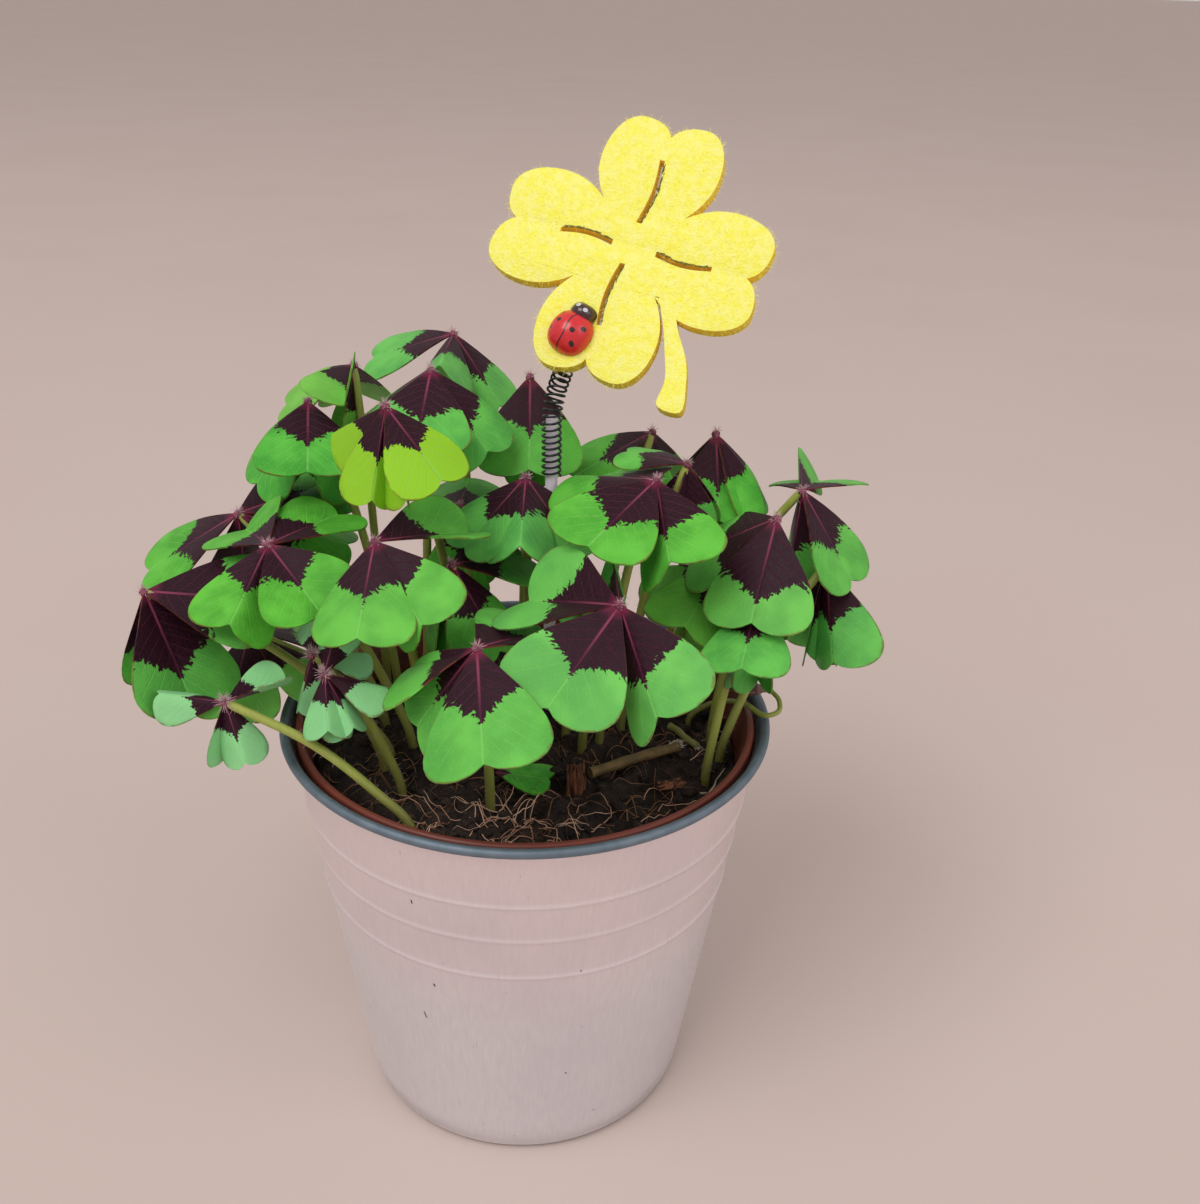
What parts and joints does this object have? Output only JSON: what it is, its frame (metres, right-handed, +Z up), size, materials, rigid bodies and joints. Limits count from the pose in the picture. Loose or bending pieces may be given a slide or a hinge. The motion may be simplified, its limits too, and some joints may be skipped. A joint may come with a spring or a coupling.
{
  "type": "potted oxalis plant",
  "caption": "Potted oxalis with drooping clover-like leaves in a tapered metal sleeve, and a felt clover with a ladybird on a spring pick.",
  "frame": {"origin": "middle of the sleeve's underside, on the surface it stands on", "axes": "+Z up; -Y is the side that the picture looks at, +X is its right"},
  "size_m": [0.1722, 0.1364, 0.2232],
  "materials": {
    "tin": "faint vertical brushing",
    "liner": "matte",
    "soil": "rough, fibrous peat",
    "leaf": "satin, dark purple at the middle",
    "withered": "matte",
    "bark": "rough",
    "rod": "satin",
    "wire": "satin black",
    "felt": "felt",
    "ladybird": "gloss paint"
  },
  "bodies": {
    "root": {"tin_sleeve": "tin", "nursery_pot": "liner", "soil": "soil", "leaf_01": "leaf", "leaf_02": "leaf", "leaf_03": "leaf", "leaf_04": "leaf", "leaf_05": "leaf", "leaf_06": "leaf", "leaf_07": "leaf", "leaf_08": "leaf", "leaf_09": "leaf", "leaf_10": "leaf", "leaf_11": "leaf", "leaf_12": "leaf", "leaf_13": "leaf", "leaf_14": "leaf", "leaf_15": "leaf", "leaf_16": "leaf", "leaf_17": "leaf", "leaf_18": "leaf", "leaf_19": "leaf", "leaf_20": "leaf", "leaf_21": "leaf", "leaf_22": "leaf", "leaf_23": "leaf", "leaf_24": "leaf", "leaf_25": "leaf", "leaf_26": "leaf", "young_tuft": "leaf", "young_leaf": "leaf", "withered_leaf": "withered", "cut_stem": "leaf", "cut_petiole": "leaf", "bark_stub": "bark", "bark_chip": "bark", "fallen_leaflet": "leaf", "pick_rod": "rod", "pick_spring": "wire", "felt_clover": "felt", "ladybird": "ladybird"}
  },
  "joints": []
}
